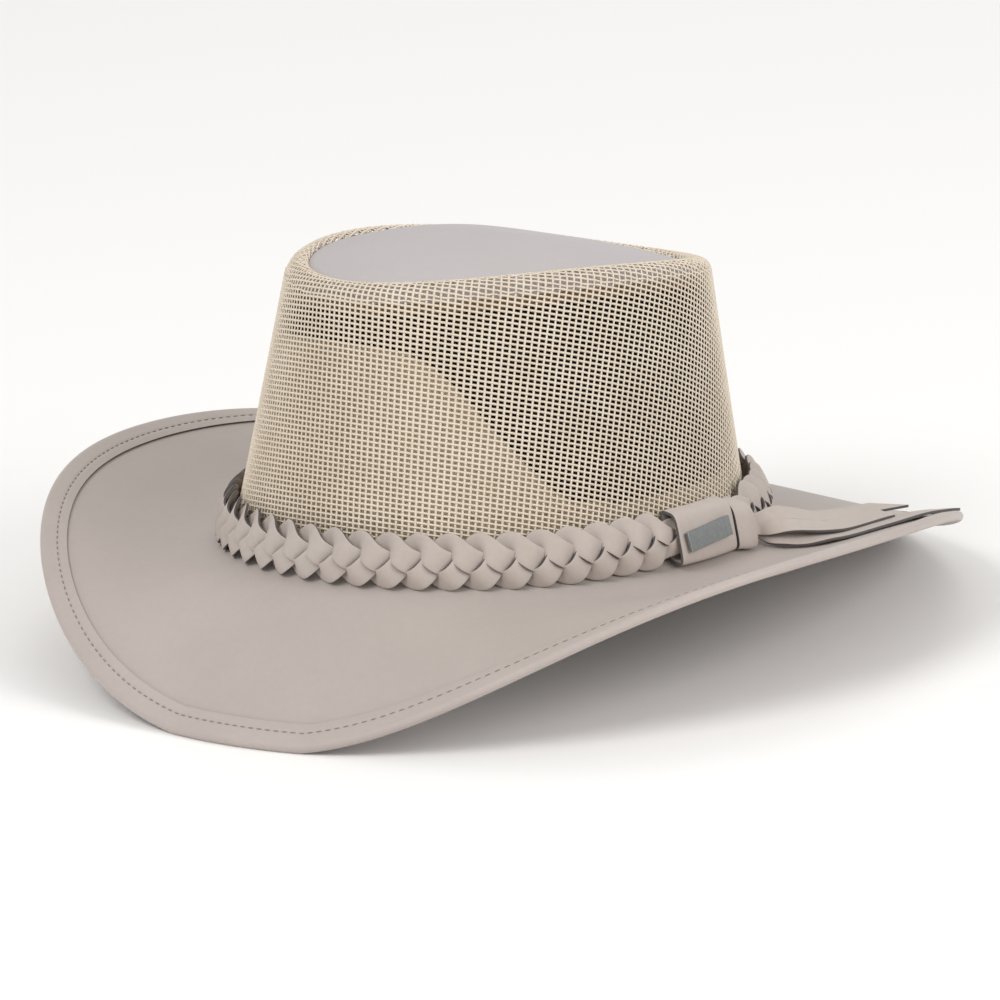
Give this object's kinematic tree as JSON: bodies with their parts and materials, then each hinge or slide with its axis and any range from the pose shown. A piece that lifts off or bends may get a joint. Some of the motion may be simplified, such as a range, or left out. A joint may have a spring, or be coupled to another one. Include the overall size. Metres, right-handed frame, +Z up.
{
  "type": "outback hat",
  "caption": "Outback hat with a wide curved leather brim, a tapered net crown with a leather top, a braided leather band and two leather tails.",
  "frame": {"origin": "middle of the hat in plan, on the surface that it stands on", "axes": "+Z up, -Y towards the wearer's face, +X to the wearer's left"},
  "size_m": [0.338, 0.351, 0.1523],
  "materials": {
    "brim_leather": "smooth dyed leather, matt",
    "binding_leather": "folded leather strip with a row of stitches",
    "net": "coarse coated yarn net",
    "tip_leather": "smooth dyed leather",
    "sweatband_cloth": "woven band",
    "lining_cloth": "plain close cloth",
    "backing_cloth": "fine black cloth",
    "band_leather": "cut leather strips with dark cut edges",
    "plate_metal": "aged pewter, bare"
  },
  "bodies": {
    "root": {"brim": "brim_leather", "brim_binding": "binding_leather", "crown_net": "net", "crown_tip": "tip_leather", "sweatband": "sweatband_cloth", "crown_lining": "lining_cloth", "net_backing": "backing_cloth", "hat_band": "band_leather", "keeper": "band_leather", "keeper_plate": "plate_metal", "tail_loop": "band_leather", "tail_lower": "band_leather", "tail_upper": "band_leather"}
  },
  "joints": []
}
